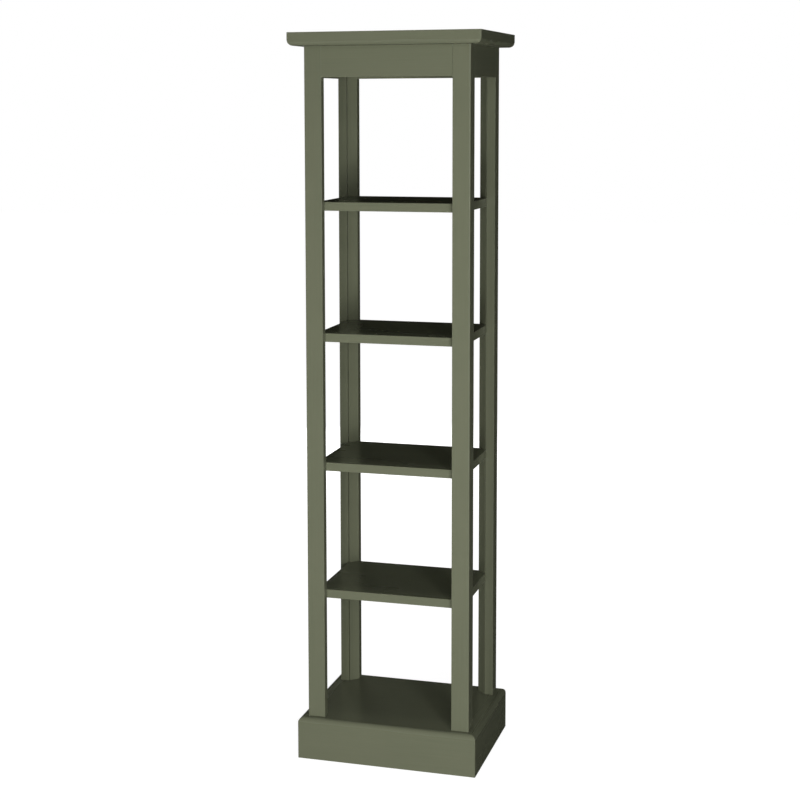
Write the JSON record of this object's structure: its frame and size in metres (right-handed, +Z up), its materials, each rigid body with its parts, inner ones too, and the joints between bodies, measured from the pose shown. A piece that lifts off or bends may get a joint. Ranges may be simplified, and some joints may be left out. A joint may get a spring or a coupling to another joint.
{
  "type": "shelf cabinet",
  "caption": "Slim four-sided open shelf tower in satin painted wood, with square chamfered posts, clipped-corner shelves, a plinth base and an overhanging top board.",
  "frame": {"origin": "on the floor, under the middle of the cabinet", "axes": "+Z up, the wide open front faces -Y, +X to the right of someone facing the front"},
  "size_m": [0.503, 0.404, 1.9],
  "materials": {
    "painted_wood": "satin olive grey-green paint",
    "bare_wood": "raw sawn and planed wood, out of sight",
    "screw_steel": "zinc plated"
  },
  "bodies": {
    "root": {"top_board": "painted_wood", "post_front_left": "painted_wood", "post_front_right": "painted_wood", "post_back_left": "painted_wood", "post_back_right": "painted_wood", "apron_front": "painted_wood", "apron_back": "painted_wood", "apron_left": "painted_wood", "apron_right": "painted_wood", "shelf_1": "painted_wood", "shelf_2": "painted_wood", "shelf_3": "painted_wood", "shelf_4": "painted_wood", "base_board": "painted_wood", "plinth_front": "painted_wood", "plinth_back": "painted_wood", "plinth_left": "painted_wood", "plinth_right": "painted_wood", "plinth_block_front_left": "bare_wood", "plinth_block_front_right": "bare_wood", "plinth_block_back_left": "bare_wood", "plinth_block_back_right": "bare_wood", "top_batten_left": "bare_wood", "top_batten_right": "bare_wood", "shelf_dowel_1_front_left": "bare_wood", "shelf_dowel_1_front_right": "bare_wood", "shelf_dowel_1_back_left": "bare_wood", "shelf_dowel_1_back_right": "bare_wood", "shelf_dowel_2_front_left": "bare_wood", "shelf_dowel_2_front_right": "bare_wood", "shelf_dowel_2_back_left": "bare_wood", "shelf_dowel_2_back_right": "bare_wood", "shelf_dowel_3_front_left": "bare_wood", "shelf_dowel_3_front_right": "bare_wood", "shelf_dowel_3_back_left": "bare_wood", "shelf_dowel_3_back_right": "bare_wood", "shelf_dowel_4_front_left": "bare_wood", "shelf_dowel_4_front_right": "bare_wood", "shelf_dowel_4_back_left": "bare_wood", "shelf_dowel_4_back_right": "bare_wood", "post_screw_front_left": "screw_steel", "post_screw_front_right": "screw_steel", "post_screw_back_left": "screw_steel", "post_screw_back_right": "screw_steel", "top_screw_left_front": "screw_steel", "top_screw_left_back": "screw_steel", "top_screw_right_front": "screw_steel", "top_screw_right_back": "screw_steel", "batten_screw_left_front": "screw_steel", "batten_screw_left_back": "screw_steel", "batten_screw_right_front": "screw_steel", "batten_screw_right_back": "screw_steel"}
  },
  "joints": []
}
